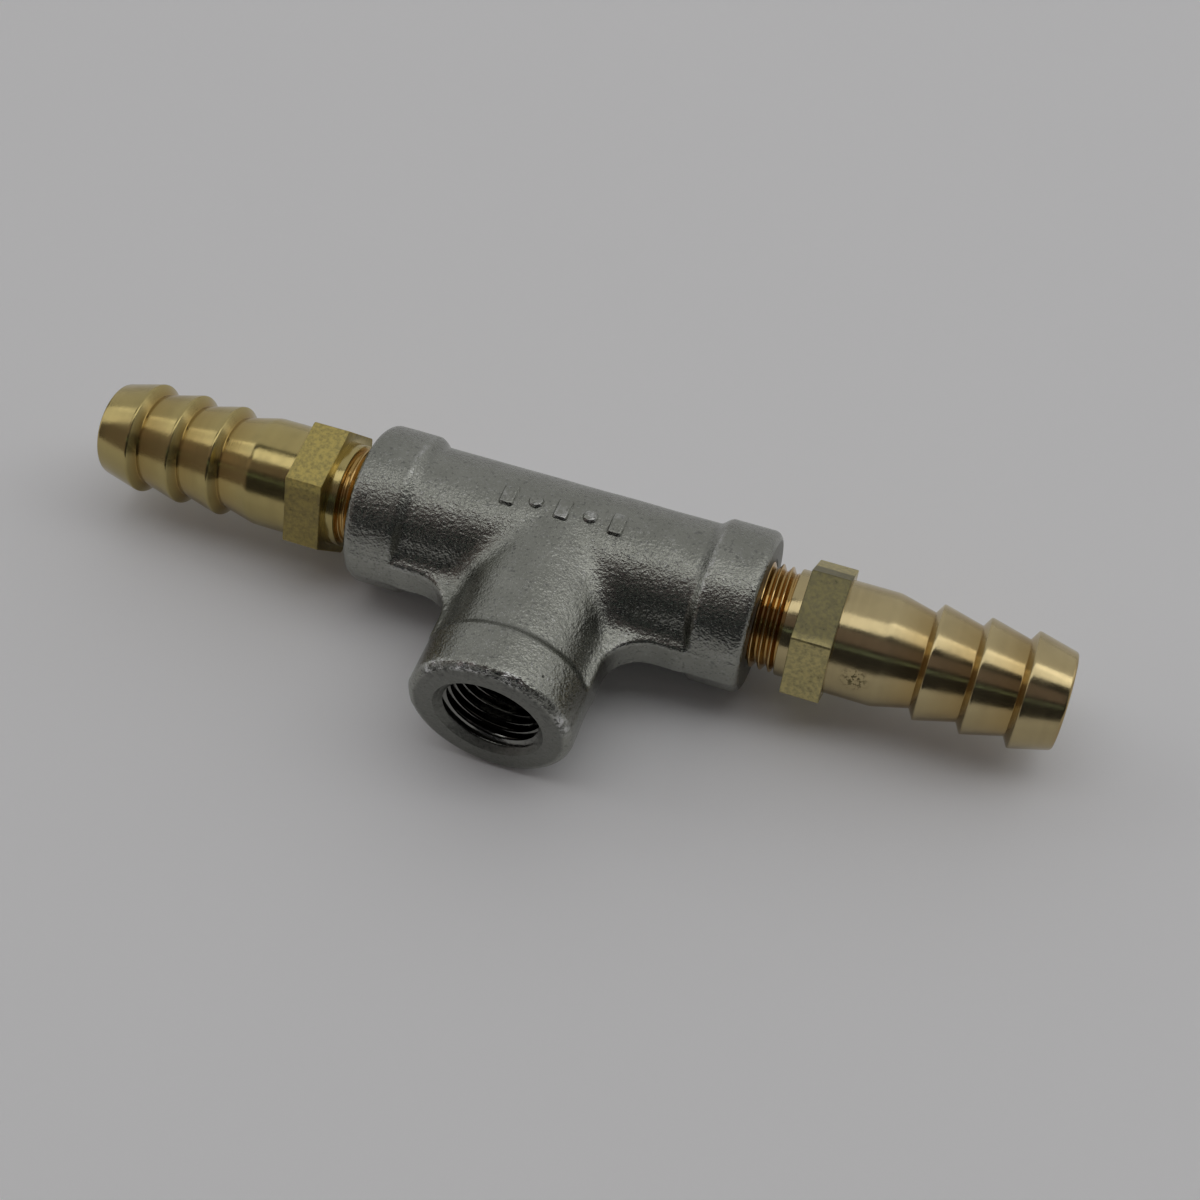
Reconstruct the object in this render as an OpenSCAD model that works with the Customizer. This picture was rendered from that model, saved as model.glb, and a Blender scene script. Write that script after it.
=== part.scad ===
// Hose-barb tee assembly: a cast threaded tee with a turned hose-barb adapter
// screwed into each end of its run. The third port, the branch, is open.
// Millimetres. +X runs along the run, +Z is up as the part lies on a table,
// and the branch port faces -Y. The origin is the centre of the branch port's
// mouth, on its end face.
// Threads are stood in by rings at the thread's pitch, since a helix has no
// exact form here. The rings of each adapter mesh with those of its port.

/* [Tee casting] */
// Distance from the crossing of the axes to a run end face
run_reach = 20; // [19:0.1:24]
// Distance from the crossing of the axes to the branch end face
branch_reach = 20; // [19:0.1:24]
// Outside diameter of the body tube
tube_d = 14.4; // [13.8:0.1:15]
// Outside diameter of the end bands
band_d = 16; // [15.8:0.1:17]
// Length of an end band along its port
band_w = 5.5; // [5:0.1:6.5]
// Radius of the rim between a band and its end face
rim_r = 0.9; // [0.5:0.1:1.2]
// Radius of the fillet where the branch tube meets the run tube
saddle_r = 2.2; // [1.5:0.1:3]

/* [Corner webs] */
// Thickness of the corner webs on the parting plane
web_t = 3.5; // [2.5:0.1:4.5]
// Radius of the hollow edge of a corner web
web_r = 4.3; // [3.5:0.1:5.5]

/* [Cast mark] */
// Height of the raised mark above the tube
mark_h = 0.3; // [0.2:0.05:0.35]
// Distance between neighbouring pads of the mark
mark_step = 2.7; // [2.4:0.1:3]

/* [Thread] */
// Thread pitch, 27 threads to the inch
pitch = 0.9407; // [0.9:0.0001:1]
// Crest radius of the male thread
crest_r = 5.14; // [5.1:0.01:5.2]
// Root radius of the male thread
root_r = 4.57; // [4.55:0.01:4.65]
// Radial gap between an adapter's thread and its port's thread
thread_gap = 0.04; // [0.02:0.01:0.06]
// Depth of full thread in each port
tap_depth = 9; // [8.5:0.1:9.5]
// Radius of the cored passage behind the threads
core_r = 4.3; // [4:0.05:4.4]
// Mouth radius of the chamfer at each port
mouth_r = 5.4; // [5.3:0.05:5.6]

/* [Hose barb adapters] */
// How far the left adapter's hex stands off the end face
left_gap = 3.2; // [2.9:0.1:5]
// How far the right adapter's hex stands off the end face
right_gap = 3.8; // [2.9:0.1:5]
// Length of the male end, from its tip to the hex
male_len = 10; // [9:0.1:10.5]
// Plain collar between the thread and the hex
collar_len = 1.1; // [0.8:0.1:1.2]
// Radius of the plain collar
collar_r = 5.2; // [5.15:0.01:5.3]
// Width across the flats of the hex
hex_af = 12; // [11.5:0.1:13]
// Length of the hex
hex_len = 3.75; // [3:0.05:5]
// Turn of the left hex about the run, degrees
left_turn = 22.6; // [0:0.1:60]
// Turn of the right hex about the run, degrees
right_turn = 47.6; // [0:0.1:60]
// Diameter of the plain cylinder beyond the hex
neck_d = 11; // [10.6:0.1:11.4]
// Length of the plain cylinder beyond the hex
neck_len = 4.55; // [3:0.05:6]
// Length of the taper from the plain cylinder to the barbs
taper_len = 3.5; // [2.5:0.1:5]
// Diameter at the foot of each barb
barb_foot_d = 9.3; // [9:0.1:9.8]
// Diameter at the crest of each barb
barb_crest_d = 11.2; // [10.8:0.1:11.4]
// Distance between barb crests
barb_pitch = 4.45; // [4:0.05:5]
// Number of barbs
barb_count = 3; // [2:1:4]
// Bore through each adapter
bore_d = 6.2; // [5.6:0.1:6.6]

/* [Hidden] */
$fn = 96;
eps = 0.01;
// the step from the band down to the tube, rounded above and filleted below
band_step = (band_d - tube_d) / 2;
shoulder_convex_r = 0.55 * band_step;
shoulder_concave_r = band_step - shoulder_convex_r;
// how far the webs stand proud of the tube, seen from above
web_proud = 0.7;
// how far a thread ring or a groove reaches into the wall behind it
ring_bite = 0.2;
// thread form: flat at the crest, flat at the root, 60 degrees between flanks
crest_flat = 0.12;
thread_h = crest_r - root_r;
flank_x = thread_h * tan(30);
// the first full crest's distance from the collar, then from the hex face
undercut = 0.66;
first_crest = collar_len + undercut;
ring_count = floor((male_len - first_crest) / pitch) + 1;
male_lead = 0.6;
// barbs: a steep shoulder, a narrow crest land, then a long cone to the foot
barb_shoulder = 0.55;
barb_land = 0.2;
barbs_x = hex_len + neck_len + taper_len;
tail_end = barbs_x + barb_count * barb_pitch;
tip_chamfer = 0.35;
// ring phase in the open branch port, as a distance from the end face
branch_phase = 0.4;
web_c = tube_d / 2 + web_proud + web_r;
mark_pads = 5;

// Everything below is drawn about the crossing of the axes; in_frame moves it
// to the part's own frame.
module in_frame() {
    translate([0, branch_reach, 0]) children();
}

// Turns a profile given as (radius, distance) about the axis that points to
// +X for "right", -X for "left" and -Y for "branch".
module spin(port) {
    turn = port == "right" ? [0, 90, 0] : port == "left" ? [0, -90, 0] : [90, 0, 0];
    rotate(turn) rotate_extrude() children();
}

// One thread ring as a trapezoid centred at distance x, on a root at radius r.
module ring(x, r) {
    half_foot = crest_flat / 2 + flank_x;
    polygon([
        [r - ring_bite, x - half_foot], [r, x - half_foot],
        [r + thread_h, x - crest_flat / 2], [r + thread_h, x + crest_flat / 2],
        [r, x + half_foot], [r - ring_bite, x + half_foot]
    ]);
}

// The waste outside a rounded corner of radius r at (r0, x0). side is +1 where
// the corner faces greater x, -1 where it faces smaller x.
module corner_waste(r0, x0, r, side) {
    translate([r0 - r, x0 - side * r]) difference() {
        translate([0, side > 0 ? 0 : -r - eps]) square(r + eps);
        circle(r);
    }
}

// The fillet in the hollow corner between the tube at radius r0 and a face at x0.
module hollow_fill(r0, x0, r) {
    difference() {
        translate([r0 - eps, x0 - r]) square([r + eps, r + eps]);
        translate([r0 + r, x0 - r]) circle(r);
    }
}

// Half section of one arm of the casting: tube, shoulder, band and rim.
module arm_section(reach) {
    tube_r = tube_d / 2;
    band_r = band_d / 2;
    foot = reach - band_w;
    square([tube_r, reach - eps]);
    difference() {
        translate([0, foot]) square([band_r, band_w]);
        corner_waste(band_r, reach, rim_r, 1);
        corner_waste(band_r, foot, shoulder_convex_r, -1);
    }
    hollow_fill(tube_r, foot, shoulder_concave_r);
}

// The tool that cuts one port: chamfered mouth, tapped length and ring grooves.
// phase is the distance from the end face to any one groove's centre.
module port_section(reach, phase) {
    minor = root_r + thread_gap;
    first = phase - floor(phase / pitch) * pitch;
    last = tap_depth - pitch / 2;
    square([minor, reach + 1]);
    polygon([
        [0, reach + 1], [mouth_r + 1, reach + 1],
        [minor, reach - (mouth_r - minor)], [0, reach - (mouth_r - minor)]
    ]);
    for (d = [first : pitch : last])
        ring(reach - d, minor);
}

// The port tool, cut back to the tapped length so that the cored passage behind
// it keeps its own size.
module port(name, reach, phase) {
    spin(name) intersection() {
        port_section(reach, phase);
        translate([0, reach - tap_depth]) square([mouth_r + 1, tap_depth + 1]);
    }
}

// A quarter elbow that blends the run tube into the branch tube on the +X side.
module saddle() {
    bend = tube_d / 2 + saddle_r;
    translate([bend, -bend, 0])
        rotate([0, 0, 90])
            rotate_extrude(angle = 90) translate([bend, 0]) circle(tube_d / 2);
}

// The flat web across the corner between the run and the branch on the +X side.
// It reaches from inside the tubes to just inside the two bands, and a square
// with one rounded corner is cut from it.
module web() {
    inner = tube_d / 4;
    outer = min(run_reach, branch_reach) - band_w + shoulder_convex_r;
    cut = outer - web_c + 1;
    translate([0, 0, -web_t / 2]) linear_extrude(web_t) difference() {
        translate([inner, -outer]) square(outer - inner);
        translate([web_c, -web_c]) {
            circle(web_r);
            translate([0, -cut]) square([cut, cut + web_r]);
            translate([-web_r, -cut]) square([cut + web_r, cut]);
        }
    }
}

// A plain raised mark on top of the run: bars and round pips in turn.
module cast_mark() {
    top_r = tube_d / 2 + mark_h;
    bar_x = 1.5;
    bar_y = 2.6;
    intersection() {
        rotate([0, 90, 0]) cylinder(r = top_r, h = mark_pads * mark_step, center = true);
        for (i = [0 : mark_pads - 1])
            translate([(i - (mark_pads - 1) / 2) * mark_step, 0, tube_d / 2 - 1])
                if (i % 2 == 0)
                    translate([-bar_x / 2, -bar_y / 2, 0]) cube([bar_x, bar_y, 3]);
                else
                    cylinder(d = bar_x, h = 3);
    }
}

module tee_body() {
    color([0.62, 0.62, 0.61]) in_frame() difference() {
        union() {
            spin("right") arm_section(run_reach);
            spin("left") arm_section(run_reach);
            spin("branch") arm_section(branch_reach);
            saddle();
            mirror([1, 0, 0]) saddle();
            web();
            mirror([1, 0, 0]) web();
            cast_mark();
        }
        rotate([0, 90, 0]) cylinder(r = core_r, h = 2 * run_reach, center = true);
        rotate([90, 0, 0]) cylinder(r = core_r, h = branch_reach);
        port("right", run_reach, first_crest - right_gap);
        port("left", run_reach, first_crest - left_gap);
        port("branch", branch_reach, branch_phase);
    }
}

// Half section of the turned adapter. Distance 0 is the hex face nearest the
// tee; the male end is on the negative side and the barbs on the positive side.
module adapter_section() {
    foot = barb_foot_d / 2;
    crest = barb_crest_d / 2;
    difference() {
        union() {
            translate([0, -male_len]) square([root_r, male_len]);
            translate([0, -collar_len]) square([collar_r, collar_len + eps]);
            for (i = [0 : ring_count - 1]) ring(-first_crest - i * pitch, root_r);
        }
        // lead-in chamfer at the end of the thread
        polygon([
            [crest_r - male_lead, -male_len - eps], [crest_r + 1, -male_len - eps],
            [crest_r + 1, -male_len + male_lead + 1]
        ]);
        translate([0, -male_len - 2]) square([crest_r + 1, 2]);
    }
    square([neck_d / 2, hex_len + neck_len]);
    polygon([
        [0, hex_len + neck_len], [neck_d / 2, hex_len + neck_len],
        [foot, barbs_x], [0, barbs_x]
    ]);
    for (i = [0 : barb_count - 1]) {
        x = barbs_x + i * barb_pitch;
        polygon([
            [0, x - eps], [foot, x], [crest, x + barb_shoulder],
            [crest, x + barb_shoulder + barb_land],
            [foot, x + barb_pitch], [0, x + barb_pitch]
        ]);
    }
}

// One adapter along its own axis: the turned body, its hex and its bore.
module adapter(turn) {
    difference() {
        union() {
            rotate_extrude() adapter_section();
            rotate([0, 0, turn]) cylinder(r = hex_af / sqrt(3), h = hex_len, $fn = 6);
        }
        translate([0, 0, -male_len - 1]) cylinder(d = bore_d, h = male_len + tail_end + 2);
        translate([0, 0, tail_end - tip_chamfer])
            cylinder(r1 = bore_d / 2, r2 = bore_d / 2 + 2 * tip_chamfer, h = 2 * tip_chamfer);
    }
}

module left_hose_barb() {
    color([0.78, 0.62, 0.26]) in_frame()
        translate([-run_reach - left_gap, 0, 0]) rotate([0, -90, 0]) adapter(left_turn);
}

module right_hose_barb() {
    color([0.78, 0.62, 0.26]) in_frame()
        translate([run_reach + right_gap, 0, 0]) rotate([0, 90, 0]) adapter(right_turn);
}

tee_body();
left_hose_barb();
right_hose_barb();
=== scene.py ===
"""Visual model of a cast steel tee with a turned brass hose-barb adapter in each end
of its run. Lengths are millimetres about the crossing of the tee's axes until a mesh
is made: +X is the run's right arm, -Y the branch, +Z up.
"""
import math

import bmesh
import bpy
import numpy as np
from mathutils import Matrix, Vector


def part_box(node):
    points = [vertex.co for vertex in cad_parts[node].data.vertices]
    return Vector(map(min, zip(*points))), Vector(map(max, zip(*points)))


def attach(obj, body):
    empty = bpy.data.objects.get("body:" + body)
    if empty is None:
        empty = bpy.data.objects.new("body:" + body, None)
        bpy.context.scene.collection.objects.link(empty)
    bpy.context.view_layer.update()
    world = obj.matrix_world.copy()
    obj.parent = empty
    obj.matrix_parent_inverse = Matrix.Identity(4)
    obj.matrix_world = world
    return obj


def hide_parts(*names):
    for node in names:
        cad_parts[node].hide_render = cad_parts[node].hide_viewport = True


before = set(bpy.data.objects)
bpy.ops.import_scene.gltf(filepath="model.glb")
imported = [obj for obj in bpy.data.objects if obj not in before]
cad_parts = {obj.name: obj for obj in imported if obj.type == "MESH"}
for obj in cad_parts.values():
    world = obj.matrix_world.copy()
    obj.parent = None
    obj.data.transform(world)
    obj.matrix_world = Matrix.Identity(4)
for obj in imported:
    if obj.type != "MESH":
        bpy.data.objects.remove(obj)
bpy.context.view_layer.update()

MM = 0.001
TAU = 2 * math.pi

# ---------------------------------------------------------------- sizes
tee_low, tee_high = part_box("tee_body")
LARGEST_R = tee_high.z / MM
CROSSING_Y = tee_high.y / MM - LARGEST_R
RUN_REACH = tee_high.x / MM
BRANCH_REACH = CROSSING_Y - tee_low.y / MM

# casting: the bands stay a hair inside the largest radius, to leave room for waviness
WAVE = 0.018
BAND_R = LARGEST_R - 2 * WAVE
TUBE_R = 7.2
STEP_FROM, STEP_LONG = 6.05, 1.25  # the step up to a band, in from the arm's face
RIM_R = 0.9
MOUTH_R = 5.4
CORE_R = 4.3
TAP_DEPTH = 9.0
TAP_CONE = 0.3
BRANCH_BLEND = 1.1 * 2.6  # the fillet between run and branch
WEB_HALF = 1.75
WEB_PROUD = 0.7  # how far the webs' edge stands off the tubes' sides
WEB_R = 4.3
WEB_CENTRE = TUBE_R + WEB_PROUD + WEB_R
WEB_FROM = 1.0  # the plate of the webs starts this far from the run's axis
WEB_EDGE, WEB_BLEND, BAND_BLEND = 0.6, 1.8, 0.3  # its edge, and its fillets
FLANGE_SINK = 0.06  # how much further in its edge lies along the bands
SKIN_NEAR, SKIN_FAR = 5, 13  # the skin lies between these radii on every arm

# thread, shared by the ports and the adapters
PITCH = 0.9407
CREST_R = 5.14
ROOT_R = 4.57
THREAD_GAP = 0.04
THREAD_H = CREST_R - ROOT_R
CREST_HALF = 0.06
FLANK = THREAD_H * math.tan(math.radians(30))
TAP_RUNOUT = 0.7 * PITCH
MALE_RUNOUT = 0.55

# adapter, as distances from the hex face nearest the tee
COLLAR_LEN, COLLAR_R = 1.1, 5.2
MALE_LEN = 10.0
MALE_LEAD = 0.6
HEX_APOTHEM, HEX_LEN = 6.0, 3.75
HEX_CORNER_R = 6.87
HEX_EDGE = 0.05
NECK_R, NECK_END = 5.5, 8.3
TAPER_END = 11.8
FOOT_R, BARB_CREST_R = 4.65, 5.6
BARB_PITCH, BARBS = 4.45, 3
BARB_RISE, BARB_LAND = 0.55, 0.2
TAIL_END = TAPER_END + BARBS * BARB_PITCH
BORE_R, BORE_BREAK = 3.1, 0.35
CREST_AT = -1.92  # a crest of the male thread, on the adapter's zero line of angle
EDGE_FILLET, FOOT_FILLET, CREST_FILLET = 0.05, 0.07, 0.09
TAPER_FILLET, COLLAR_FILLET, WIDE_FILLET = 0.06, 0.12, 0.3

# raised mark: bars and pips in turn along the top of the run
PADS, PAD_STEP = 5, 2.7
PAD_HALF_X, PAD_HALF_Y = 0.75, 1.3
PAD_HIGH, PAD_CORNER = 0.29, 0.35
PAD_FOOT, PAD_SLOPE = 0.1, 0.34  # where a pad starts to rise, and over what distance
MARK_HALF, MARK_TURN = 6.9, 14.5  # half its length, and half its width in degrees


# ---------------------------------------------------------------- number helpers
def ease(t):
    """0 below 0, 1 above 1, and 3t^2 - 2t^3 between."""
    t = np.clip(t, 0, 1)
    return t * t * (3 - 2 * t)


def soft_min(a, b, k):
    """The lesser of a and b, less a quarter of k where they are equal and nothing
    where they differ by k or more."""
    k = np.maximum(k, 1e-9)
    near = np.maximum(k - np.abs(a - b), 0) / k
    return np.minimum(a, b) - near * near * k / 4


def soft_max(a, b, k):
    """The greater of a and b, rounded off in the same way."""
    return -soft_min(-a, -b, k)


def spread(density, low, high, count):
    """count values from low to high, closer together where density(value) is high:
    equal steps of the running sum of the density."""
    fine = np.linspace(low, high, 4001)
    total = np.concatenate([[0], np.cumsum(density((fine[1:] + fine[:-1]) / 2))])
    found = np.interp(np.linspace(0, total[-1], count), total, fine)
    found[[0, -1]] = low, high
    return found


def on_axes(point):
    """A point given in millimetres from the crossing, in metres of the shared frame."""
    return (Vector(point) + Vector((0, CROSSING_Y, 0))) * MM


# ---------------------------------------------------------------- casting skin
def arm_radius(out):
    """Radius of an arm at distance out from the crossing: the tube, then an eased
    step up to the band."""
    return TUBE_R + (BAND_R - TUBE_R) * ease((out - RUN_REACH + STEP_FROM) / STEP_LONG)


def waviness(x, y, z):
    """Low swells of the cast skin: three sine waves in different directions."""
    return WAVE / 2 * (
        np.sin(0.83 * x + 1.1 * y + 0.4)
        + np.sin(1.27 * y - 0.9 * z + 1.7)
        + np.sin(1.05 * z + 0.61 * x + 2.9)
    )


def skin(x, y, z):
    """A field that is negative inside the casting's outer skin and 0 on it. The run
    and the branch are cylinders joined by a fillet that fades as their surfaces turn
    parallel. A flat plate on the parting plane fills each corner between them: a
    square with one rounded corner is cut from it, and it runs on along the bands as a
    narrow flat."""
    off_run = np.hypot(y, z)
    off_branch = np.hypot(x, z)
    run = off_run - arm_radius(np.abs(x))
    branch = np.maximum(off_branch - arm_radius(-y), y)
    apart = 1 - z * z / np.maximum(off_run * off_branch, 1e-6)
    body = soft_min(run, branch, BRANCH_BLEND * apart)

    across, along = WEB_CENTRE - np.abs(x), WEB_CENTRE + y
    hollow = (
        np.hypot(np.maximum(across, 0), np.maximum(along, 0))
        + np.minimum(np.maximum(across, along), 0)
        - WEB_R
    )
    on_band = ease((np.maximum(np.abs(x), -y) - RUN_REACH + STEP_FROM) / STEP_LONG)
    plate = soft_max(FLANGE_SINK * on_band - hollow, np.abs(z) - WEB_HALF, WEB_EDGE)
    plate = np.maximum(plate, y + WEB_FROM)
    blend_over = WEB_BLEND + (BAND_BLEND - WEB_BLEND) * on_band
    return soft_min(body, plate, blend_over) + waviness(x, y, z)


def to_skin(at, shape, low=SKIN_NEAR, high=SKIN_FAR, halvings=44):
    """The distance along each ray at which it leaves the skin, by halving the span
    between low and high. at(distance) gives the points' x, y and z."""
    low, high = np.full(shape, float(low)), np.full(shape, float(high))
    for _ in range(halvings):
        middle = (low + high) / 2
        outside = skin(*at(middle)) > 0
        high = np.where(outside, middle, high)
        low = np.where(outside, low, middle)
    return (low + high) / 2


def bend_of(points, step=0.12):
    """How sharply the skin bends at each point: the sum of the field's second
    differences, above 0 on ridges and below 0 in hollows, per millimetre."""
    x, y, z = np.moveaxis(points, -1, 0)
    total = -6 * skin(x, y, z)
    for dx, dy, dz in np.vstack([np.eye(3), -np.eye(3)]) * step:
        total = total + skin(x + dx, y + dy, z + dz)
    return total / step**2


# ---------------------------------------------------------------- thread
def thread_height(phase):
    """Height of the thread over its root at a phase counted in turns: a flat crest
    at whole turns, 60 degree flanks and a flat root."""
    off = np.abs((phase + 0.5) % 1 - 0.5) * PITCH
    return THREAD_H * np.clip((CREST_HALF + FLANK - off) / FLANK, 0, 1)


def thread_lines(turn, crest, high, low, rows):
    """Rows of a right-hand thread between high and low along an outward axis. Row j
    lies at crest + pitch * (turn - j / rows), held between high and low, so that each
    row follows the helix and turn 1 meets turn 0 one pitch on. Returns the places
    and each row's height over the root."""
    first = crest + PITCH * math.ceil((high - crest) / PITCH)
    count = int(math.ceil((first + PITCH - low) / PITCH * rows)) + 1
    j = np.arange(count)[:, None] / rows
    place = np.clip(first + PITCH * (turn[None] - j), low, high)
    return place, np.broadcast_to(thread_height(j), place.shape)


# ---------------------------------------------------------------- sheets of patches
# Marks are numbers from 0 to 1 at each point, and the materials read them. On the
# casting: ridge (its edges), crease (its hollows, the thread's roots and the pads'
# feet, darkened as painted shade), cut (turned), inner (thread and passage) and chatter
# (knocked). On an adapter: threaded, drawn (the hex), groove (the roots of the thread
# and the feet of the barbs) and inside (the bore).
def joined(patches, marks):
    """Patches of points laid end to end as one sheet, and its marks. marks gives, for
    each mark, the patches that have it and how strongly, as a number or as an array
    that spreads over the patch. A mark is 0 on the patches that it doesn't name."""
    filled = {
        mark: np.concatenate([
            np.broadcast_to(on.get(name, 0.0), points.shape[:2])
            for name, points in patches.items()
        ])
        for mark, on in marks.items()
    }
    return np.concatenate(list(patches.values())), filled


# ---------------------------------------------------------------- casting arms
def front_angles(web_edge=0.18, width=0.16, crowding=4.2, count=101):
    """Angles from the top round the open side to the bottom, closest together at the
    edges of the corner webs: the density rises as a bell of that width at each."""
    def density(a):
        off = np.abs(a - math.pi / 2)
        return 1 + crowding * np.exp(-((off - web_edge) / width) ** 2)
    return spread(density, 0, math.pi, count)


FRONT = front_angles()
BACK = np.linspace(math.pi, TAU, 55)
ARMS = {
    # outward axis, direction at 90 degrees, angles, handed turn, thread rows a pitch
    "right": ((1, 0, 0), (0, -1, 0), np.append(FRONT, BACK[1:]), 1, 6),
    "left": ((-1, 0, 0), (0, -1, 0), np.append(FRONT, BACK[1:]), -1, 6),
    "branch": ((0, -1, 0), (1, 0, 0), np.append(FRONT, TAU - FRONT[-2::-1]), -1, 12),
}
# rows of points along each part of an arm, and the room left at each end of the step
TUBE_ROWS, STEP_ROWS, BAND_ROWS = 35, 13, 9
RIM_ROWS, FACE_ROWS, CORE_ROWS = 9, 6, 8
STEP_ROOM = 0.15
# knocks along the branch's rim: waves in a turn, phase and share of each sine wave
KNOCK_DEPTH = 0.16
KNOCK_WAVES = ((17, 0.6, 1), (29, 2.1, 1), (41, 4.0, 1), (53, 1.3, 0.7))
KNOCK_LEVEL = 2.6
SKIN_WEAR_AND_SHADE = 0.35  # how strongly the skin's ridges, and the painted shade of its hollows, show beside the rim's


def upper_rim(angle, start):
    """1 on the upper part of the branch's rim, turned a little towards +X, and 0 on
    the lower part: eased over 0.35 from where the cosine passes start."""
    return ease((np.cos(angle - 0.2) - start) / 0.35)


def knocks(angle):
    """Depth of the small knocks along the branch's rim: where a sum of sine waves
    round the rim is high, on the upper part of the rim only."""
    waves = sum(share * np.sin(n * angle + phase) for n, phase, share in KNOCK_WAVES)
    return KNOCK_DEPTH * ease(waves / KNOCK_LEVEL) * upper_rim(angle, 0.3)


def arm(name, crest):
    """One arm of the casting as a sheet of rings, from the mitre on its outer skin,
    over the rim, the end face, the chamfer and the thread, to the mitre on its cored
    passage. A ring's point at angle a lies along up * cos(a) + side * sin(a). crest
    is the distance out of a crest of the thread where its turn starts."""
    axis, side, angle, handed, rows = ARMS[name]
    axis, side, up = np.array(axis, float), np.array(side, float), np.array([0, 0, 1.0])
    turn = angle / TAU if handed > 0 else 1 - angle / TAU
    sine = np.sin(angle)
    on_branch = name == "branch"
    lean = np.abs(sine) if on_branch else np.maximum(sine, 0)
    ray = up * np.cos(angle)[:, None] + side * sine[:, None]

    def place(out, radius):
        return axis * out[..., None] + ray * radius[..., None]

    def skin_radius(shape, out_at):
        return to_skin(lambda r: np.moveaxis(place(out_at(r), r), -1, 0), shape)

    # outer skin: from the mitre to the step, over the step, and along the band
    mitre = skin_radius(angle.shape, lambda r: r * lean)
    step = RUN_REACH - STEP_FROM - STEP_ROOM
    stepped = step + STEP_LONG + 2 * STEP_ROOM
    share = spread(lambda s: 1 + 2 * s**4, 0, 1, TUBE_ROWS)[:, None]
    mouthward = np.concatenate([
        np.linspace(step, stepped, STEP_ROWS)[1:],
        np.linspace(stepped, RUN_REACH - RIM_R, BAND_ROWS)[1:],
    ])[:, None]
    start = (mitre * lean)[None]
    out = np.concatenate([start + (step - start) * share, mouthward + 0 * start])
    radius = skin_radius(out.shape, lambda r: out)
    radius[0] = mitre
    skin_points = place(out, radius)
    bend = bend_of(skin_points)

    # rim arc, knocked on the branch, and flat end face
    swing = np.linspace(0, math.pi / 2, RIM_ROWS)[1:, None]
    edge = radius[-1][None]
    knock = knocks(angle)[None] * np.sin(2 * swing) * on_branch
    rim_out = RUN_REACH - RIM_R * (1 - np.sin(swing)) + 0 * edge - knock * np.sin(swing)
    rim_r = edge - RIM_R * (1 - np.cos(swing)) - knock * np.cos(swing)
    inward = np.linspace(0, 1, FACE_ROWS)[1:, None]
    face_r = rim_r[-1:] + (MOUTH_R - rim_r[-1:]) * inward

    # tapped hole: the chamfer wins over the thread where it is wider
    tapped_end = RUN_REACH - TAP_DEPTH
    tap_out, height = thread_lines(turn, crest, RUN_REACH, tapped_end, rows)
    fade = ease((tap_out - tapped_end) / TAP_RUNOUT)
    tap_r = np.maximum(
        ROOT_R + THREAD_GAP + height * fade, MOUTH_R - (RUN_REACH - tap_out)
    )

    # cored passage to its own mitre
    core_from = tapped_end - TAP_CONE
    core_to = (CORE_R * lean)[None]
    core_out = core_from + (core_to - core_from) * np.linspace(0, 1, CORE_ROWS)[:, None]

    patches = {
        "skin": skin_points,
        "rim": place(rim_out, rim_r),
        "face": place(RUN_REACH + 0 * face_r, face_r),
        "thread": place(tap_out, tap_r),
        "core": place(core_out, CORE_R + 0 * core_out),
    }
    # bend is per millimetre, and swing in radians from the band to the end face
    upper = upper_rim(angle, 0.25)[None] * on_branch
    deep = ease((RUN_REACH - tap_out - 0.5) / 0.8)  # 0 on the chamfer, 1 past it
    marks = {
        "ridge": {"skin": SKIN_WEAR_AND_SHADE * ease((bend - 0.5) / 1.1),
                  "rim": np.sin(2 * swing) ** 0.7 * upper},
        # crease: painted shade in the skin's hollows and at the thread's roots
        "crease_shade": {"skin": SKIN_WEAR_AND_SHADE * ease((-bend - 0.05) / 0.8),
                   "thread": (1 - height / THREAD_H) * deep},
        "cut": {"rim": ease((swing - 1.2) / 0.35), "face": 1, "thread": 1},
        "inner": {"thread": deep, "core": 1},
        "chatter": {"rim": np.exp(-((swing - 1.15) / 0.33) ** 2) * upper,
                    "face": 0.5 * upper * np.exp(-inward / 0.3)},
    }
    return joined(patches, marks)


# ---------------------------------------------------------------- adapters
def filleted(corners, arcs=4, most=0.45):
    """A line through (place, radius, fillet) corners. Each fillet leaves its corner
    as an arc, drawn as the curve (1-t)^2 A + 2t(1-t) C + t^2 B between the points
    A and B that lie the fillet's length from the corner C, or at most that share of
    the way to the next corner."""
    points = np.array([c[:2] for c in corners], float)
    made = [points[:1]]
    for i in range(1, len(points) - 1):
        corner, size = points[i], corners[i][2]
        if size == 0:
            made.append(corner[None])
            continue
        ends = []
        for other in (points[i - 1], points[i + 1]):
            away = other - corner
            ends.append(corner + away * min(size / np.linalg.norm(away), most))
        t = np.linspace(0, 1, arcs)[:, None]
        made.append((1 - t) ** 2 * ends[0] + 2 * t * (1 - t) * corner + t**2 * ends[1])
    made.append(points[-1:])
    return np.concatenate(made)


def hex_radius(angle, vertex):
    """Radius of the hexagon at an angle, with its corners taken off by a circle."""
    off = (angle - vertex) % (TAU / 6) - TAU / 12
    return np.minimum(HEX_APOTHEM / np.cos(off), HEX_CORNER_R)


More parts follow.
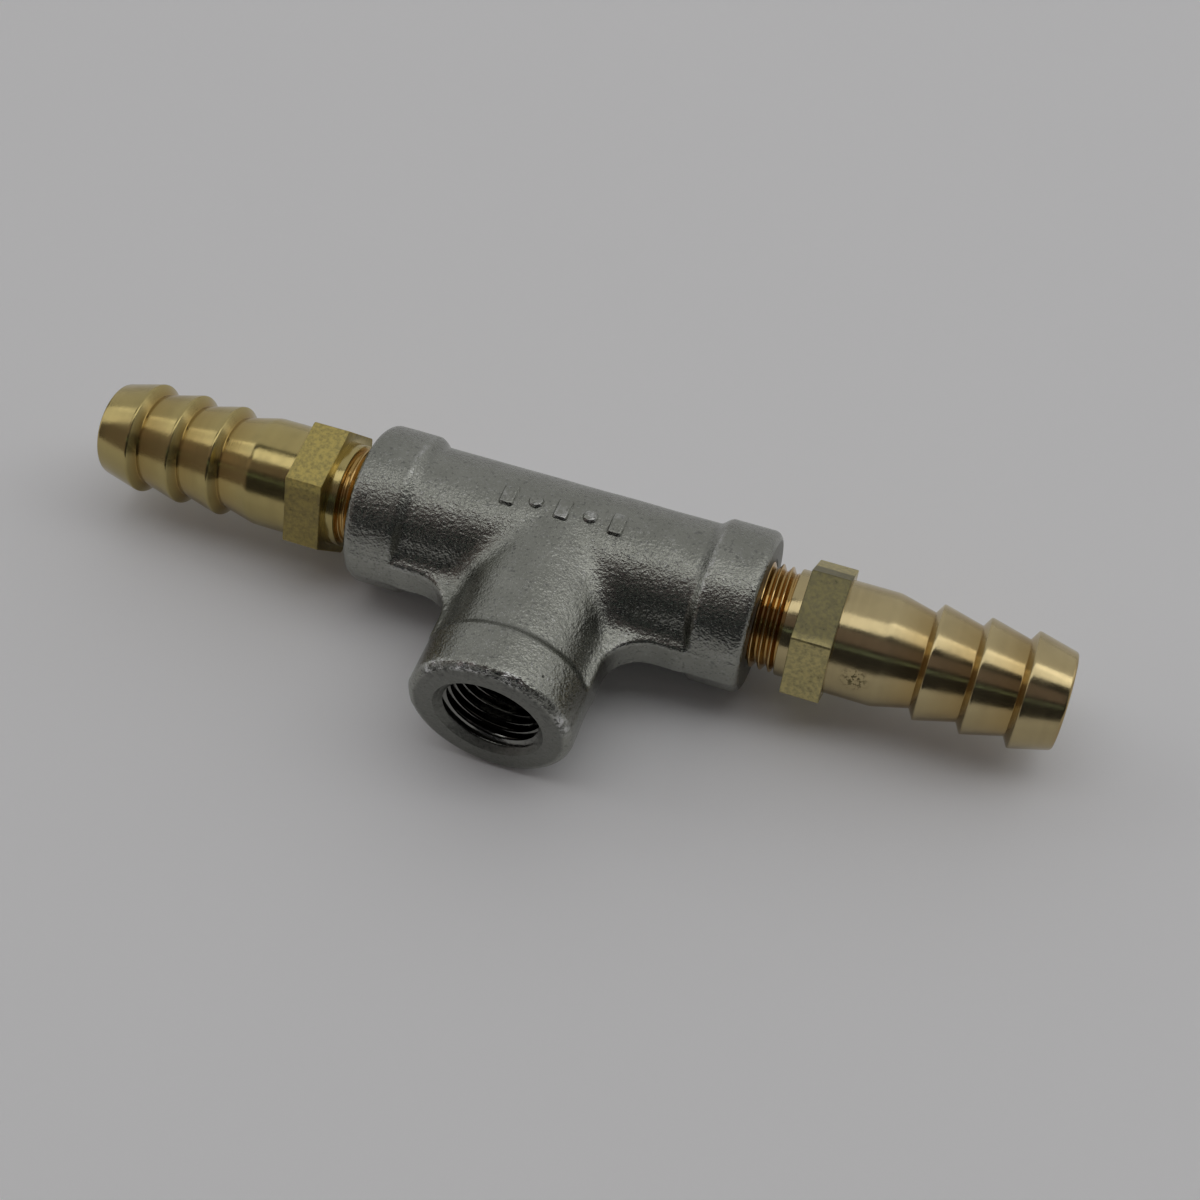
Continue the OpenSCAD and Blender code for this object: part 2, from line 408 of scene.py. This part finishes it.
def barb_line():
    """(place, radius, fillet) corners from the hex along the neck, its taper and the
    barbs to the tail, and back through the bore to the foot of the male end's lead.
    The places next to the hex and along the bore only split long walls."""
    line = [(HEX_LEN, NECK_R, 0), (HEX_LEN + 0.06, NECK_R, 0),
            (NECK_END, NECK_R, WIDE_FILLET), (TAPER_END, FOOT_R, TAPER_FILLET)]
    for i in range(BARBS):
        foot = TAPER_END + i * BARB_PITCH
        top = foot + BARB_RISE
        next_fillet = WIDE_FILLET if i == BARBS - 1 else FOOT_FILLET
        line += [(top, BARB_CREST_R, CREST_FILLET),
                 (top + BARB_LAND, BARB_CREST_R, CREST_FILLET),
                 (foot + BARB_PITCH, FOOT_R, next_fillet)]
    return line + [
        (TAIL_END, BORE_R + BORE_BREAK, EDGE_FILLET),
        (TAIL_END - BORE_BREAK, BORE_R, EDGE_FILLET),
        (TAIL_END - 8, BORE_R, 0), (0, BORE_R, 0),
        (-MALE_LEN, BORE_R, EDGE_FILLET), (-MALE_LEN, CREST_R - MALE_LEAD, 0),
    ]


def adapter(side, hex_face, vertex, columns=109, rows=12):
    """One hose-barb adapter as a closed sheet of rings, from its male end over the
    thread, collar, hex, neck and barbs to the tail, and back through the bore. side
    is +1 for the right arm and -1 for the left one, hex_face is how far from the
    crossing the hex starts, and vertex is the angle of one of its corners. Some
    columns of points lie on the hex's corners and where the circle that takes them
    off starts and ends."""
    taken_off = TAU / 12 - math.acos(HEX_APOTHEM / HEX_CORNER_R)
    corners = vertex + TAU / 6 * np.arange(6)
    breaks = np.concatenate([corners - taken_off, corners, corners + taken_off])
    columns_at = np.append(np.linspace(0, TAU, columns), breaks % TAU)
    angle = np.unique(np.round(columns_at, 9))
    turn = angle / TAU if side > 0 else 1 - angle / TAU
    angle[[0, -1]] = 0, TAU

    def patch(place, radius):
        radius = radius + 0 * angle
        return np.stack([
            side * (hex_face + place + 0 * angle),
            -radius * np.sin(angle), radius * np.cos(angle)], axis=-1)

    # the thread runs from the collar to the male end, so its rows are turned round
    male, height = thread_lines(turn, CREST_AT, -COLLAR_LEN, -MALE_LEN, rows)
    male, height = male[::-1], height[::-1]
    runout = ease((-COLLAR_LEN - male) / MALE_RUNOUT)
    male_r = np.minimum(
        ROOT_R + height * runout, CREST_R - MALE_LEAD + (male + MALE_LEN)
    )

    collar = filleted([
        (-COLLAR_LEN, ROOT_R, 0), (-COLLAR_LEN, COLLAR_R, COLLAR_FILLET),
        (-EDGE_FILLET, COLLAR_R, EDGE_FILLET), (0, COLLAR_R, 0)])
    # hex: (place, inset) rows, chamfered at both faces
    near = 0.25
    hex_rows = np.array([
        (0, HEX_EDGE), (HEX_EDGE, 0), (near, 0), (HEX_LEN / 2, 0),
        (HEX_LEN - near, 0), (HEX_LEN - HEX_EDGE, 0), (HEX_LEN, HEX_EDGE)])
    hexagon = hex_radius(angle, vertex)
    barbs = filleted(barb_line())
    along, out = barbs[:, :1], barbs[:, 1:]

    cone = (along - TAPER_END) % BARB_PITCH
    at_foot = (along > TAPER_END - 0.3) & (out > BORE_R + 0.8)
    groove = np.exp(-(np.minimum(cone, BARB_PITCH - cone) / 0.2) ** 2) * at_foot
    patches = {
        "thread": patch(male, male_r),
        "collar": patch(collar[:, :1], collar[:, 1:]),
        "hex": patch(hex_rows[:, :1], hexagon - hex_rows[:, 1:]),
        "barbs": patch(along, out),
    }
    marks = {
        "threaded": {"thread": 1},
        "drawn": {"hex": 1},
        "groove": {"thread": 1 - height / THREAD_H, "barbs": groove},
        "inside": {"barbs": (out < BORE_R + 0.2).astype(float)},
    }
    return joined(patches, marks)


# ---------------------------------------------------------------- raised mark
def raised_mark(rows=235, columns=63):
    """A row of bars and round pips in turn on top of the run. Its upper sheet is the
    skin plus a pad's eased height, and its lower sheet lies inside the casting and
    meets the upper one round the border."""
    x, angle = np.meshgrid(
        np.linspace(-MARK_HALF, MARK_HALF, rows),
        np.radians(np.linspace(-MARK_TURN, MARK_TURN, columns)), indexing="ij")

    def at(radius):
        return x, -radius * np.sin(angle), radius * np.cos(angle)

    skin_r = to_skin(at, x.shape, high=9)
    wide = skin_r * angle
    off = np.full(x.shape, 9.0)  # how far outside the nearest pad's outline
    for i in range(PADS):
        bar = i % 2 == 0
        corner = PAD_CORNER if bar else PAD_HALF_X
        half_y = PAD_HALF_Y if bar else PAD_HALF_X
        dx = np.abs(x - (i - (PADS - 1) / 2) * PAD_STEP)
        qx = dx - (PAD_HALF_X - corner)
        qy = np.abs(wide) - (half_y - corner)
        box = np.hypot(np.maximum(qx, 0), np.maximum(qy, 0)) + np.minimum(
            np.maximum(qx, qy), 0)
        off = np.minimum(off, box - corner)
    rise = ease((PAD_FOOT - off) / PAD_SLOPE)

    # the lower sheet dips inside the casting, and not at all along the border
    sunk, dip = 0.07, 0.5
    inside = (1 - (x / MARK_HALF) ** 8) * (1 - (angle / angle.max()) ** 8)
    upper = skin_r - sunk + (PAD_HIGH + sunk) * rise
    lower = skin_r - sunk - dip * np.clip(inside, 0, 1)
    nothing = np.zeros_like(x)
    marks = dict.fromkeys(("ridge", "crease_shade", "cut", "inner", "chatter"), nothing)
    # ridge on the pads' rubbed top edges, crease as painted shade round their feet
    worn_and_shaded = {"ridge": np.exp(-((rise - 0.8) / 0.25) ** 2),
            "crease_shade": np.exp(-((rise - 0.12) / 0.12) ** 2)}
    return [(np.stack(at(upper), axis=-1), {**marks, **worn_and_shaded}),
            (np.stack(at(lower), axis=-1), marks)]


# ---------------------------------------------------------------- meshes
JOIN_WITHIN = 2e-7  # metres within which points of neighbouring sheets are one


def piece(name, sheets, material, node=None, crisp=28):
    """Makes one closed mesh from sheets of points, each (points, marks). Neighbouring
    points in a sheet make its faces, and points that coincide are joined, so sheets
    that share a border become one skin."""
    points, faces, values, first = [], [], {}, 0
    for sheet, marks in sheets:
        rows, columns = sheet.shape[:2]
        index = first + np.arange(rows * columns).reshape(rows, columns)
        quads = np.stack(
            [index[:-1, :-1], index[1:, :-1], index[1:, 1:], index[:-1, 1:]], axis=-1)
        faces.append(quads.reshape(-1, 4))
        points.append(sheet.reshape(-1, 3))
        for key, value in marks.items():
            values.setdefault(key, []).append(np.asarray(value, float).reshape(-1))
        first += rows * columns
    place = (np.concatenate(points) + (0, CROSSING_Y, 0)) * MM
    mesh = bpy.data.meshes.new(name)
    mesh.from_pydata(place, [], np.concatenate(faces))
    for key, value in values.items():
        made = mesh.attributes.new(key, "FLOAT", "POINT")
        made.data.foreach_set("value", np.concatenate(value).astype(np.float32))
    work = bmesh.new()
    work.from_mesh(mesh)
    bmesh.ops.remove_doubles(work, verts=work.verts, dist=JOIN_WITHIN)
    bmesh.ops.recalc_face_normals(work, faces=work.faces)
    work.to_mesh(mesh)
    work.free()
    mesh.shade_smooth()
    mesh.set_sharp_from_angle(angle=math.radians(crisp))
    mesh.materials.append(material)
    made = bpy.data.objects.new(name, mesh)
    bpy.context.scene.collection.objects.link(made)
    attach(made, "root")
    if node:
        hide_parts(node)


# ---------------------------------------------------------------- material helpers
def add(tree, kind, inputs=None, **settings):
    """Adds a shader node. inputs are values or sockets by the socket's name."""
    made = tree.nodes.new("ShaderNode" + kind)
    for key, value in settings.items():
        setattr(made, key, value)
    for key, value in (inputs or {}).items():
        if isinstance(value, bpy.types.NodeSocket):
            tree.links.new(value, made.inputs[key])
        else:
            made.inputs[key].default_value = value
    return made


def calc(tree, operation, a, b, clamp=False):
    """a and b through one sum."""
    made = add(tree, "Math", {0: a, 1: b}, operation=operation, use_clamp=clamp)
    return made.outputs[0]


def plus(tree, a, b, clamp=False):
    return calc(tree, "ADD", a, b, clamp)


def less(tree, a, b):
    return calc(tree, "SUBTRACT", a, b)


def times(tree, a, b):
    return calc(tree, "MULTIPLY", a, b)


def blend(tree, share, a, b):
    """Colour a, turning to b as share goes from 0 to 1."""
    made = add(tree, "Mix", {0: share, 6: a, 7: b}, data_type="RGBA")
    return made.outputs[2]


def ramp(tree, value, low, high, at_low=0.0, at_high=1.0):
    """value eased from at_low to at_high as it goes from low to high."""
    made = add(tree, "MapRange", {
        "Value": value, "From Min": low, "From Max": high,
        "To Min": at_low, "To Max": at_high}, interpolation_type="SMOOTHSTEP")
    return made.outputs[0]


def noise(tree, where, size_mm, detail, roughness):
    """Noise whose lumps are about size_mm across."""
    return add(tree, "TexNoise", {
        "Vector": where, "Scale": 1 / (size_mm * MM), "Detail": detail,
        "Roughness": roughness}).outputs[0]


def off_point(tree, where, point):
    """Distance from a point, both in metres."""
    made = add(tree, "VectorMath", {0: where, 1: point}, operation="DISTANCE")
    return made.outputs["Value"]


def bumped(tree, height, strength, depth_mm):
    """A normal that tilts with the slope of height, where 1 stands depth_mm high."""
    return add(tree, "Bump", {
        "Height": height, "Strength": strength, "Distance": depth_mm * MM}).outputs[0]


def mark_of(tree, name):
    return add(tree, "Attribute", attribute_name=name).outputs["Fac"]


def tint(colour, strength=1.0):
    """A colour made brighter or darker, with the alpha that a socket wants."""
    return (*(strength * v for v in colour), 1)


def grey(level):
    return tint((level, level, level))


def surface(name):
    """An empty material: its tree, its Principled node and its object coordinates."""
    made = bpy.data.materials.new(name)
    made.use_nodes = True
    tree = made.node_tree
    shader = tree.nodes["Principled BSDF"]
    where = add(tree, "TexCoord").outputs["Object"]
    return made, tree, shader, where


def link(tree, shader, **sockets):
    for key, value in sockets.items():
        tree.links.new(value, shader.inputs[key.replace("_", " ")])


# ---------------------------------------------------------------- materials
CAST_DARK, CAST_LIGHT = (0.282, 0.286, 0.252), (0.322, 0.326, 0.290)
TURNED_DARK, TURNED_LIGHT = (0.145, 0.147, 0.132), (0.225, 0.228, 0.206)
CORED = (0.30, 0.30, 0.28)
BLOWHOLE, BLOWHOLE_R = (-8.2, -6.9, 2.0), (0.55, 0.3)  # its edge and its floor; the floor's dark is painted shade
THREAD_BRASS, GROOVE_BRASS, BORE_BRASS = (
    (0.62, 0.415, 0.175), (0.38, 0.235, 0.06), (0.34, 0.23, 0.09))
STAIN, STAIN_R = (0.06, 0.055, 0.02), (1.7, 0.3)
FLATS_TURN = (4.55, 5.0)  # height over which the hex's lower flats give way to its top, whose own tone is painted light and shade
UNDERSIDE_SHADE = (3.2, 1.0)  # height from which the turned brass darkens downwards, as painted shade
TABLE_DARK, TABLE_LIGHT = (0.918, 0.918, 0.924), (0.942, 0.942, 0.948)


def cast_steel():
    """Investment-cast steel, acid-dulled: a fine pebbled grain, low mottling, pores, a
    few pits and one blowhole whose dark is painted shade, painted shade in the hollows
    and thread roots, ridges rubbed bright, knocked dark spots at the rim, turned faces
    and threads. Noise sizes are millimetres."""
    made, tree, shader, where = surface("cast_steel_grained")
    ridge, crease_shade = mark_of(tree, "ridge"), mark_of(tree, "crease_shade")
    cut, inner = mark_of(tree, "cut"), mark_of(tree, "inner")
    chatter = mark_of(tree, "chatter")
    grain = noise(tree, where, 0.26, 2.0, 0.6)
    pebble = noise(tree, where, 0.62, 2.0, 0.5)
    mottle = noise(tree, where, 3.2, 3.0, 0.55)
    patch = noise(tree, where, 0.55, 4.0, 0.7)
    pores = noise(tree, where, 0.34, 1.0, 0.5)

    # cast skin, painted shade in its hollows, then the rubbed ridges
    tone = blend(
        tree, ramp(tree, mottle, 0.35, 0.68), tint(CAST_DARK), tint(CAST_LIGHT))
    tone = blend(tree, ramp(tree, grain, 0.56, 0.74, 0, 0.45), tone, grey(0.50))
    # painted shade: hollows, thread roots and pads' feet darkened by the crease mark
    tone = blend(tree, times(tree, crease_shade, 0.3), tone, grey(0.08))
    rubbed = times(tree, ridge, ramp(tree, patch, 0.42, 0.6))
    rubbed = times(tree, rubbed, ramp(tree, mottle, 0.44, 0.6))
    tone = blend(tree, times(tree, rubbed, 0.85), tone, grey(0.80))

    # turned faces and threads, their knocks, and the cored passage
    turned = blend(
        tree, ramp(tree, patch, 0.35, 0.7), tint(TURNED_DARK), tint(TURNED_LIGHT))
    tone = blend(tree, times(tree, cut, 0.75), tone, turned)
    knocked = times(tree, chatter, ramp(tree, patch, 0.52, 0.44))
    tone = blend(tree, times(tree, knocked, 0.85), tone, grey(0.05))
    tone = blend(tree, times(tree, inner, 0.5), tone, tint(CORED))

    # pores, pits in a few cells of a random pattern, and the blowhole: their dark is
    # painted shade in their depths
    tone = blend(tree, ramp(tree, pores, 0.60, 0.70, 0, 0.45), tone, grey(0.09))
    cells = add(tree, "TexVoronoi", {"Vector": where, "Scale": 1 / (2.6 * MM)})
    pit = ramp(tree, cells.outputs["Distance"], 0.075, 0.045)
    pit = times(tree, pit, ramp(tree, cells.outputs["Color"], 0.80, 0.83))
    off = off_point(tree, where, on_axes(BLOWHOLE))
    hole = ramp(tree, off, *(r * MM for r in BLOWHOLE_R))
    pit = plus(tree, pit, hole, clamp=True)
    tone = blend(tree, times(tree, pit, 0.85), tone, grey(0.02))

    dull = ramp(tree, patch, 0.3, 0.7, 0.15, 0.28)
    dull = plus(tree, dull, times(tree, cut, 0.24))
    dull = less(tree, dull, times(tree, rubbed, 0.08))
    dull = less(tree, dull, times(tree, inner, 0.34))
    height = plus(tree, grain, times(tree, pebble, 0.7))
    height = less(tree, height, times(tree, pit, 2.0))
    height = less(tree, height, times(tree, knocked, 1.5))
    still = less(tree, 1.0, times(tree, inner, 0.9))
    still = less(tree, still, times(tree, cut, 0.1))
    relief = bumped(tree, times(tree, height, still), 1.0, 0.082)
    shader.inputs["Metallic"].default_value = 1.0
    link(tree, shader, Base_Color=tone, Roughness=dull, Normal=relief)
    return made


def turned_brass(name, stain_at, body_tone, upper_tone, lower_tone):
    """Turned brass: fine rings round the axis, warmer threads, darker feet of the
    barbs, painted shade on the underside, dull drawn hex flats with faint streaks along
    the bar, and a stain about a point. body_tone is the turned metal's colour,
    upper_tone that of the hex's flats near the top, and lower_tone that of its other
    flats; these two flat tones differ as painted light and shade. Noise sizes are
    millimetres."""
    made, tree, shader, where = surface(name)
    threaded, drawn = mark_of(tree, "threaded"), mark_of(tree, "drawn")
    groove, inside = mark_of(tree, "groove"), mark_of(tree, "inside")
    turned = less(tree, 1.0, drawn)
    rings = add(tree, "Mapping", {
        "Vector": where, "Scale": (1, 0.012, 0.012)}).outputs[0]
    streaks = add(tree, "Mapping", {
        "Vector": where, "Scale": (0.15, 1, 1)}).outputs[0]
    ring_marks = noise(tree, rings, 0.10, 2.0, 0.6)
    wide_rings = noise(tree, rings, 0.9, 2.0, 0.5)
    bar_marks = noise(tree, streaks, 0.12, 3.0, 0.6)
    cloud = noise(tree, where, 3.5, 3.0, 0.55)
    speck = noise(tree, where, 0.42, 3.0, 0.65)
    grain = noise(tree, where, 0.25, 2.0, 0.5)
    level = add(tree, "SeparateXYZ", {"Vector": where}).outputs["Z"]

    # turned metal, and the drawn flats: their top and other tones are painted light and
    # shade, their dark specks dirt
    tone = blend(
        tree, ramp(tree, cloud, 0.35, 0.7), tint(body_tone), tint(body_tone, 0.88))
    tone = blend(
        tree, ramp(tree, wide_rings, 0.4, 0.65, 0, 0.3), tone, tint(body_tone, 1.12))
    # painted light and shade: the top flats get their own tone, brighter than the
    # others on the left adapter and darker on the right
    top = ramp(tree, level, *(z * MM for z in FLATS_TURN))
    flat_light_and_dirt = blend(tree, top, tint(lower_tone), tint(upper_tone))
    flat_light_and_dirt = blend(tree, ramp(tree, speck, 0.35, 0.65, 0, 0.35), flat_light_and_dirt, grey(0.08))
    tone = blend(tree, drawn, tone, flat_light_and_dirt)
    # painted shade: the turned brass darkened towards its underside
    painted_under_shade = ramp(tree, level, *(z * MM for z in UNDERSIDE_SHADE), 0, 0.4)
    tone = blend(tree, times(tree, painted_under_shade, turned), tone, tint(body_tone, 0.45))

    # threads, feet of the barbs, bore and stain
    tone = blend(tree, times(tree, threaded, 0.9), tone, tint(THREAD_BRASS))
    tone = blend(tree, times(tree, groove, 0.6), tone, tint(GROOVE_BRASS))
    tone = blend(tree, times(tree, inside, 0.5), tone, tint(BORE_BRASS))
    close = ramp(tree, off_point(tree, where, stain_at), *(r * MM for r in STAIN_R))
    spots = times(tree, close, ramp(tree, speck, 0.49, 0.56))
    dirt = times(tree, drawn, ramp(tree, speck, 0.62, 0.72))
    spots = plus(tree, spots, times(tree, dirt, 0.4), clamp=True)
    tone = blend(tree, times(tree, spots, 0.75), tone, tint(STAIN))

    dull = ramp(tree, cloud, 0.3, 0.7, 0.15, 0.23)
    dull = plus(tree, dull, times(tree, drawn, 0.30))
    dull = plus(tree, dull, times(tree, spots, 0.30), clamp=True)
    height = plus(tree, times(tree, ring_marks, turned), times(tree, bar_marks, drawn))
    height = plus(tree, height, times(tree, grain, 0.8))
    relief = bumped(tree, height, 0.6, 0.009)
    shader.inputs["Metallic"].default_value = 1.0
    link(tree, shader, Base_Color=tone, Roughness=dull, Normal=relief)
    return made


def pale_table():
    """A pale matt table top with the faintest mottling."""
    made, tree, shader, where = surface("pale_table")
    cloud = noise(tree, where, 60, 3.0, 0.5)
    tone = blend(tree, cloud, tint(TABLE_DARK), tint(TABLE_LIGHT))
    shader.inputs["Roughness"].default_value = 0.7
    shader.inputs["Specular IOR Level"].default_value = 0.25
    link(tree, shader, Base_Color=tone)
    return made


# ---------------------------------------------------------------- stage
def table(z, half=3.0):
    """A flat square at height z, in metres."""
    mesh = bpy.data.meshes.new("table_top")
    mesh.from_pydata(
        [(-half, -half, z), (half, -half, z), (half, half, z), (-half, half, z)],
        [], [(0, 1, 2, 3)])
    mesh.materials.append(pale_table())
    made = bpy.data.objects.new("table_top", mesh)
    bpy.context.scene.collection.objects.link(made)


def panel(name, tilt, lean, distance, size, glow, colour=(1, 1, 1), yaw=0.0):
    """A soft panel light, seen from the object at tilt degrees from overhead towards
    the near side and lean degrees towards +x, facing it and turned by yaw degrees
    about that line. glow is its brightness, so its power is glow * pi * its area."""
    light = bpy.data.lights.new(name, "AREA")
    light.shape = "RECTANGLE"
    light.size, light.size_y = size
    light.energy = glow * math.pi * size[0] * size[1]
    light.color = colour
    made = bpy.data.objects.new(name, light)
    a, b = math.radians(tilt), math.radians(lean)
    away = Vector((math.sin(b), -math.sin(a) * math.cos(b), math.cos(a) * math.cos(b)))
    made.location = Vector((0, CROSSING_Y * MM, 0)) + away * distance
    level = Vector((math.cos(b), math.sin(a) * math.sin(b), -math.cos(a) * math.sin(b)))
    side = Matrix.Rotation(math.radians(yaw), 3, away) @ level
    made.rotation_mode = "QUATERNION"
    turned = Matrix((side, away.cross(side), away)).transposed()
    made.rotation_quaternion = turned.to_quaternion()
    bpy.context.scene.collection.objects.link(made)


def camera(target, azimuth, elevation, roll, distance, lens):
    """A camera that looks at target from distance, both in millimetres. Azimuth 0
    looks along +Y and turns to the +X side, and roll lifts the view's right side."""
    a, e, r = (math.radians(v) for v in (azimuth, elevation, roll))
    forward = Vector((
        -math.sin(a) * math.cos(e), math.cos(a) * math.cos(e), -math.sin(e)))
    level = Vector((math.cos(a), math.sin(a), 0))
    lift = level.cross(forward)
    right = level * math.cos(r) + lift * math.sin(r)
    up = lift * math.cos(r) - level * math.sin(r)
    turned = Matrix((right, up, -forward)).transposed()
    data = bpy.data.cameras.new("camera")
    data.lens, data.sensor_width = lens, 36
    data.clip_start, data.clip_end = 0.01, 20
    made = bpy.data.objects.new("camera", data)
    made.rotation_mode = "QUATERNION"
    made.rotation_quaternion = turned.to_quaternion()
    made.location = Vector(target) * MM - forward * distance * MM
    bpy.context.scene.collection.objects.link(made)
    bpy.context.scene.camera = made


# ---------------------------------------------------------------- the object
right_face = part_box("right_hose_barb")[1].x / MM - TAIL_END
left_face = -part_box("left_hose_barb")[0].x / MM - TAIL_END
BRANCH_CREST_IN = 0.4  # from the branch's face to a crest of its thread
steel = cast_steel()
arms = [
    arm("right", right_face + CREST_AT),
    arm("left", left_face + CREST_AT),
    arm("branch", BRANCH_REACH - BRANCH_CREST_IN),
]
piece("tee_casting", arms, steel, node="tee_body")
piece("cast_mark", raised_mark(), steel, crisp=60)

ADAPTERS = (
    # name, side, hex face, angle of a hex corner, stain, turned, upper and other flats,
    # the flats' two tones being painted light and shade
    ("right", 1, right_face, -12.4, (30.2, -5.2, 1.4),
     ((0.57, 0.465, 0.250), (0.24, 0.212, 0.100), (0.59, 0.505, 0.230))),
    ("left", -1, left_face, -22.6, (-30.0, 4.0, -3.6),
     ((0.53, 0.430, 0.180), (0.61, 0.495, 0.165), (0.44, 0.350, 0.125))),
)
for name, side, hex_face, vertex, stain, tones in ADAPTERS:
    brass = turned_brass(f"{name}_turned_brass", on_axes(stain), *tones)
    piece(f"{name}_adapter", [adapter(side, hex_face, math.radians(vertex))], brass,
          node=f"{name}_hose_barb")

# ---------------------------------------------------------------- light and camera
ROSY, PINK, GREENISH = (1.0, 0.80, 0.74), (1.0, 0.80, 0.80), (0.72, 1.0, 0.84)
table(tee_low.z)
panel("overhead", -3, 8, 1.0, (1.9, 0.45), 1.06, yaw=17)
panel("back_wall", -52, 0, 1.6, (6.0, 2.45), 0.44)
panel("left_lamp", -4, -66, 1.6, (1.5, 0.72), 0.75)
panel("right_side", -40, 66, 1.6, (1.4, 1.3), 0.3)
panel("left_front", 55, -52, 1.6, (0.9, 2.0), 0.12, ROSY)
panel("front_ceiling", 32, 0, 1.4, (3.0, 0.60), 0.11, PINK)
panel("front_tube", 54, 0, 1.2, (2.4, 0.018), 0.8, GREENISH)
world = bpy.data.worlds.new("dim_room")
world.use_nodes = True
background = world.node_tree.nodes["Background"]
background.inputs["Color"].default_value = tint((0.024, 0.024, 0.026))
bpy.context.scene.world = world
bpy.context.scene.view_settings.view_transform = "Standard"
camera(target=(5.06, 16.27, 0.0), azimuth=18.66, elevation=53.55, roll=1.14,
       distance=162.6, lens=51.2)
